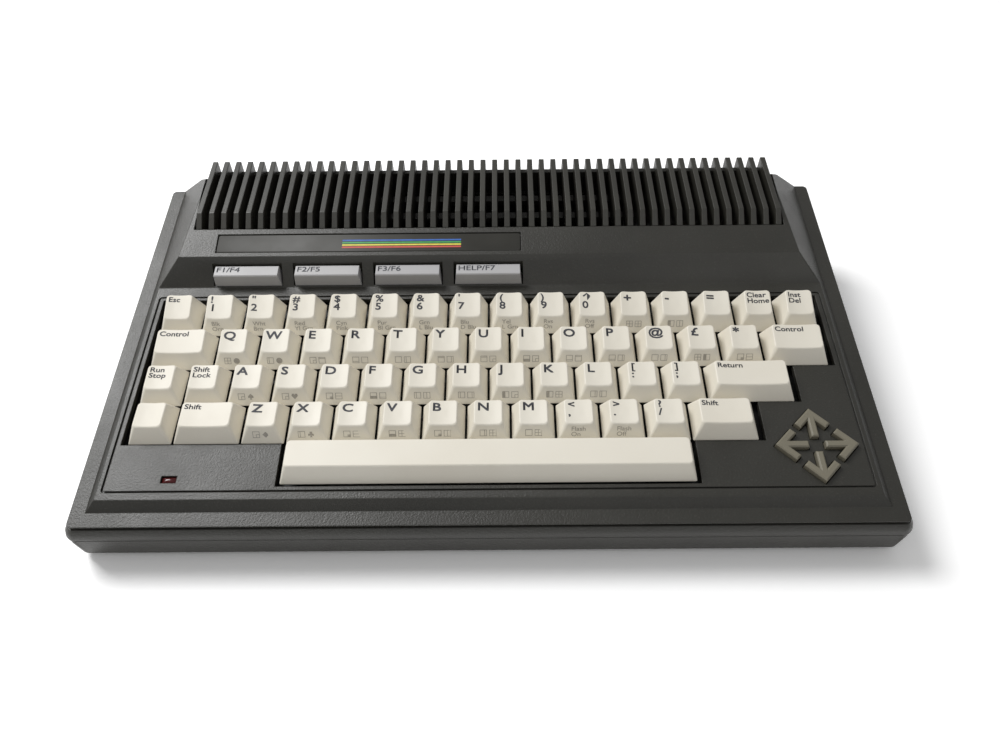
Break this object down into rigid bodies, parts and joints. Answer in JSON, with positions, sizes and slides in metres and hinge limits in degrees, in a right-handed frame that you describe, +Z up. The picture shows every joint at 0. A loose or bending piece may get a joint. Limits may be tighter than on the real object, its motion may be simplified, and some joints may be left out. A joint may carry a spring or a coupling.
{
  "type": "vintage home computer",
  "caption": "Wedge-shaped home computer with moving keys, a finned vent grille over the rear, a cursor cross, rear sockets, a rocker switch and a reset button.",
  "frame": {"origin": "middle of the footprint, on the surface that the rubber feet stand on", "axes": "+X to the user's right, +Y towards the rear sockets, +Z up"},
  "size_m": [0.3376, 0.1895, 0.0672],
  "materials": {
    "case_plastic": "fine moulded texture",
    "grille_plastic": "fine moulded texture",
    "badge_foil": "dark satin strip with a band of thin colours",
    "foot_rubber": "matt",
    "screw_steel": "zinc plated",
    "plate_plastic": "matt black",
    "circuit_green": "solder resist",
    "cable_grey": "ribbon",
    "lamp_red": "clear dark red",
    "chip_black": "matt",
    "tin_plate": "tinned",
    "socket_black": "satin",
    "switch_black": "satin",
    "key_cream": "fine texture, worn smoother on top",
    "key_lilac": "fine texture",
    "key_taupe": "fine texture"
  },
  "bodies": {
    "computer": {"top_case": "case_plastic", "vent_grille": "grille_plastic", "badge_strip": "badge_foil", "bottom_case": "case_plastic", "rubber_feet": "foot_rubber", "case_screws": "screw_steel", "key_plate": "plate_plastic", "keyboard_board": "circuit_green", "keyboard_cable": "cable_grey", "power_lamp": "lamp_red", "main_board": "circuit_green", "board_chips": "chip_black", "rf_modulator": "tin_plate", "din_sockets": "socket_black", "mini_din_sockets": "socket_black", "expansion_socket": "socket_black", "switch_housings": "socket_black"},
    "letter_key_q_body": {"letter_key_q": "key_cream"},
    "letter_key_w_body": {"letter_key_w": "key_cream"},
    "letter_key_e_body": {"letter_key_e": "key_cream"},
    "letter_key_r_body": {"letter_key_r": "key_cream"},
    "letter_key_t_body": {"letter_key_t": "key_cream"},
    "letter_key_y_body": {"letter_key_y": "key_cream"},
    "letter_key_u_body": {"letter_key_u": "key_cream"},
    "letter_key_i_body": {"letter_key_i": "key_cream"},
    "letter_key_o_body": {"letter_key_o": "key_cream"},
    "letter_key_p_body": {"letter_key_p": "key_cream"},
    "letter_key_a_body": {"letter_key_a": "key_cream"},
    "letter_key_s_body": {"letter_key_s": "key_cream"},
    "letter_key_d_body": {"letter_key_d": "key_cream"},
    "letter_key_f_body": {"letter_key_f": "key_cream"},
    "letter_key_g_body": {"letter_key_g": "key_cream"},
    "letter_key_h_body": {"letter_key_h": "key_cream"},
    "letter_key_j_body": {"letter_key_j": "key_cream"},
    "letter_key_k_body": {"letter_key_k": "key_cream"},
    "letter_key_l_body": {"letter_key_l": "key_cream"},
    "letter_key_z_body": {"letter_key_z": "key_cream"},
    "letter_key_x_body": {"letter_key_x": "key_cream"},
    "letter_key_c_body": {"letter_key_c": "key_cream"},
    "letter_key_v_body": {"letter_key_v": "key_cream"},
    "letter_key_b_body": {"letter_key_b": "key_cream"},
    "letter_key_n_body": {"letter_key_n": "key_cream"},
    "letter_key_m_body": {"letter_key_m": "key_cream"},
    "space_bar_body": {"space_bar": "key_cream"},
    "return_key_body": {"return_key": "key_cream"},
    "shift_key_left_body": {"shift_key_left": "key_cream"},
    "shift_key_right_body": {"shift_key_right": "key_cream"},
    "control_key_left_body": {"control_key_left": "key_cream"},
    "control_key_right_body": {"control_key_right": "key_cream"},
    "number_and_symbol_keys_body": {"number_and_symbol_keys": "key_cream"},
    "function_key_1_body": {"function_key_1": "key_lilac"},
    "function_key_2_body": {"function_key_2": "key_lilac"},
    "function_key_3_body": {"function_key_3": "key_lilac"},
    "function_key_4_body": {"function_key_4": "key_lilac"},
    "cursor_key_up_body": {"cursor_key_up": "key_taupe"},
    "cursor_key_down_body": {"cursor_key_down": "key_taupe"},
    "cursor_key_left_body": {"cursor_key_left": "key_taupe"},
    "cursor_key_right_body": {"cursor_key_right": "key_taupe"},
    "power_switch_body": {"power_switch": "switch_black"},
    "reset_button_body": {"reset_button": "switch_black"}
  },
  "joints": [
    {"name": "letter_key_q_press", "type": "slide", "parent": "computer", "child": "letter_key_q_body", "axis": [0, 0.1305, -0.9914], "range_m": [0, 0.0038], "stiffness_N_per_m": 100, "springref_m": -0.002},
    {"name": "letter_key_w_press", "type": "slide", "parent": "computer", "child": "letter_key_w_body", "axis": [0, 0.1305, -0.9914], "range_m": [0, 0.0038], "stiffness_N_per_m": 100, "springref_m": -0.002},
    {"name": "letter_key_e_press", "type": "slide", "parent": "computer", "child": "letter_key_e_body", "axis": [0, 0.1305, -0.9914], "range_m": [0, 0.0038], "stiffness_N_per_m": 100, "springref_m": -0.002},
    {"name": "letter_key_r_press", "type": "slide", "parent": "computer", "child": "letter_key_r_body", "axis": [0, 0.1305, -0.9914], "range_m": [0, 0.0038], "stiffness_N_per_m": 100, "springref_m": -0.002},
    {"name": "letter_key_t_press", "type": "slide", "parent": "computer", "child": "letter_key_t_body", "axis": [0, 0.1305, -0.9914], "range_m": [0, 0.0038], "stiffness_N_per_m": 100, "springref_m": -0.002},
    {"name": "letter_key_y_press", "type": "slide", "parent": "computer", "child": "letter_key_y_body", "axis": [0, 0.1305, -0.9914], "range_m": [0, 0.0038], "stiffness_N_per_m": 100, "springref_m": -0.002},
    {"name": "letter_key_u_press", "type": "slide", "parent": "computer", "child": "letter_key_u_body", "axis": [0, 0.1305, -0.9914], "range_m": [0, 0.0038], "stiffness_N_per_m": 100, "springref_m": -0.002},
    {"name": "letter_key_i_press", "type": "slide", "parent": "computer", "child": "letter_key_i_body", "axis": [0, 0.1305, -0.9914], "range_m": [0, 0.0038], "stiffness_N_per_m": 100, "springref_m": -0.002},
    {"name": "letter_key_o_press", "type": "slide", "parent": "computer", "child": "letter_key_o_body", "axis": [0, 0.1305, -0.9914], "range_m": [0, 0.0038], "stiffness_N_per_m": 100, "springref_m": -0.002},
    {"name": "letter_key_p_press", "type": "slide", "parent": "computer", "child": "letter_key_p_body", "axis": [0, 0.1305, -0.9914], "range_m": [0, 0.0038], "stiffness_N_per_m": 100, "springref_m": -0.002},
    {"name": "letter_key_a_press", "type": "slide", "parent": "computer", "child": "letter_key_a_body", "axis": [0, 0.1305, -0.9914], "range_m": [0, 0.0038], "stiffness_N_per_m": 100, "springref_m": -0.002},
    {"name": "letter_key_s_press", "type": "slide", "parent": "computer", "child": "letter_key_s_body", "axis": [0, 0.1305, -0.9914], "range_m": [0, 0.0038], "stiffness_N_per_m": 100, "springref_m": -0.002},
    {"name": "letter_key_d_press", "type": "slide", "parent": "computer", "child": "letter_key_d_body", "axis": [0, 0.1305, -0.9914], "range_m": [0, 0.0038], "stiffness_N_per_m": 100, "springref_m": -0.002},
    {"name": "letter_key_f_press", "type": "slide", "parent": "computer", "child": "letter_key_f_body", "axis": [0, 0.1305, -0.9914], "range_m": [0, 0.0038], "stiffness_N_per_m": 100, "springref_m": -0.002},
    {"name": "letter_key_g_press", "type": "slide", "parent": "computer", "child": "letter_key_g_body", "axis": [0, 0.1305, -0.9914], "range_m": [0, 0.0038], "stiffness_N_per_m": 100, "springref_m": -0.002},
    {"name": "letter_key_h_press", "type": "slide", "parent": "computer", "child": "letter_key_h_body", "axis": [0, 0.1305, -0.9914], "range_m": [0, 0.0038], "stiffness_N_per_m": 100, "springref_m": -0.002},
    {"name": "letter_key_j_press", "type": "slide", "parent": "computer", "child": "letter_key_j_body", "axis": [0, 0.1305, -0.9914], "range_m": [0, 0.0038], "stiffness_N_per_m": 100, "springref_m": -0.002},
    {"name": "letter_key_k_press", "type": "slide", "parent": "computer", "child": "letter_key_k_body", "axis": [0, 0.1305, -0.9914], "range_m": [0, 0.0038], "stiffness_N_per_m": 100, "springref_m": -0.002},
    {"name": "letter_key_l_press", "type": "slide", "parent": "computer", "child": "letter_key_l_body", "axis": [0, 0.1305, -0.9914], "range_m": [0, 0.0038], "stiffness_N_per_m": 100, "springref_m": -0.002},
    {"name": "letter_key_z_press", "type": "slide", "parent": "computer", "child": "letter_key_z_body", "axis": [0, 0.1305, -0.9914], "range_m": [0, 0.0038], "stiffness_N_per_m": 100, "springref_m": -0.002},
    {"name": "letter_key_x_press", "type": "slide", "parent": "computer", "child": "letter_key_x_body", "axis": [0, 0.1305, -0.9914], "range_m": [0, 0.0038], "stiffness_N_per_m": 100, "springref_m": -0.002},
    {"name": "letter_key_c_press", "type": "slide", "parent": "computer", "child": "letter_key_c_body", "axis": [0, 0.1305, -0.9914], "range_m": [0, 0.0038], "stiffness_N_per_m": 100, "springref_m": -0.002},
    {"name": "letter_key_v_press", "type": "slide", "parent": "computer", "child": "letter_key_v_body", "axis": [0, 0.1305, -0.9914], "range_m": [0, 0.0038], "stiffness_N_per_m": 100, "springref_m": -0.002},
    {"name": "letter_key_b_press", "type": "slide", "parent": "computer", "child": "letter_key_b_body", "axis": [0, 0.1305, -0.9914], "range_m": [0, 0.0038], "stiffness_N_per_m": 100, "springref_m": -0.002},
    {"name": "letter_key_n_press", "type": "slide", "parent": "computer", "child": "letter_key_n_body", "axis": [0, 0.1305, -0.9914], "range_m": [0, 0.0038], "stiffness_N_per_m": 100, "springref_m": -0.002},
    {"name": "letter_key_m_press", "type": "slide", "parent": "computer", "child": "letter_key_m_body", "axis": [0, 0.1305, -0.9914], "range_m": [0, 0.0038], "stiffness_N_per_m": 100, "springref_m": -0.002},
    {"name": "space_bar_press", "type": "slide", "parent": "computer", "child": "space_bar_body", "axis": [0, 0.1305, -0.9914], "range_m": [0, 0.0038], "stiffness_N_per_m": 150, "springref_m": -0.002},
    {"name": "return_key_press", "type": "slide", "parent": "computer", "child": "return_key_body", "axis": [0, 0.1305, -0.9914], "range_m": [0, 0.0038], "stiffness_N_per_m": 100, "springref_m": -0.002},
    {"name": "shift_key_left_press", "type": "slide", "parent": "computer", "child": "shift_key_left_body", "axis": [0, 0.1305, -0.9914], "range_m": [0, 0.0038], "stiffness_N_per_m": 100, "springref_m": -0.002},
    {"name": "shift_key_right_press", "type": "slide", "parent": "computer", "child": "shift_key_right_body", "axis": [0, 0.1305, -0.9914], "range_m": [0, 0.0038], "stiffness_N_per_m": 100, "springref_m": -0.002},
    {"name": "control_key_left_press", "type": "slide", "parent": "computer", "child": "control_key_left_body", "axis": [0, 0.1305, -0.9914], "range_m": [0, 0.0038], "stiffness_N_per_m": 100, "springref_m": -0.002},
    {"name": "control_key_right_press", "type": "slide", "parent": "computer", "child": "control_key_right_body", "axis": [0, 0.1305, -0.9914], "range_m": [0, 0.0038], "stiffness_N_per_m": 100, "springref_m": -0.002},
    {"name": "number_and_symbol_keys_press", "type": "slide", "parent": "computer", "child": "number_and_symbol_keys_body", "axis": [0, 0.1305, -0.9914], "range_m": [0, 0.0038], "stiffness_N_per_m": 900, "springref_m": -0.002},
    {"name": "function_key_1_press", "type": "slide", "parent": "computer", "child": "function_key_1_body", "axis": [0, 0.1305, -0.9914], "range_m": [0, 0.0025], "stiffness_N_per_m": 100, "springref_m": -0.002},
    {"name": "function_key_2_press", "type": "slide", "parent": "computer", "child": "function_key_2_body", "axis": [0, 0.1305, -0.9914], "range_m": [0, 0.0025], "stiffness_N_per_m": 100, "springref_m": -0.002},
    {"name": "function_key_3_press", "type": "slide", "parent": "computer", "child": "function_key_3_body", "axis": [0, 0.1305, -0.9914], "range_m": [0, 0.0025], "stiffness_N_per_m": 100, "springref_m": -0.002},
    {"name": "function_key_4_press", "type": "slide", "parent": "computer", "child": "function_key_4_body", "axis": [0, 0.1305, -0.9914], "range_m": [0, 0.0025], "stiffness_N_per_m": 100, "springref_m": -0.002},
    {"name": "cursor_key_up_press", "type": "slide", "parent": "computer", "child": "cursor_key_up_body", "axis": [0, 0.1305, -0.9914], "range_m": [0, 0.0018], "stiffness_N_per_m": 100, "springref_m": -0.002},
    {"name": "cursor_key_down_press", "type": "slide", "parent": "computer", "child": "cursor_key_down_body", "axis": [0, 0.1305, -0.9914], "range_m": [0, 0.0018], "stiffness_N_per_m": 100, "springref_m": -0.002},
    {"name": "cursor_key_left_press", "type": "slide", "parent": "computer", "child": "cursor_key_left_body", "axis": [0, 0.1305, -0.9914], "range_m": [0, 0.0018], "stiffness_N_per_m": 100, "springref_m": -0.002},
    {"name": "cursor_key_right_press", "type": "slide", "parent": "computer", "child": "cursor_key_right_body", "axis": [0, 0.1305, -0.9914], "range_m": [0, 0.0018], "stiffness_N_per_m": 100, "springref_m": -0.002},
    {"name": "power_switch_rock", "type": "hinge", "parent": "computer", "child": "power_switch_body", "pos_m": [0.1618, 0.04934, 0.02], "axis": [0, 0, 1], "range_deg": [0, 12]},
    {"name": "reset_button_press", "type": "slide", "parent": "computer", "child": "reset_button_body", "axis": [-1, 0, 0], "range_m": [0, 0.0015], "stiffness_N_per_m": 100, "springref_m": -0.001}
  ]
}
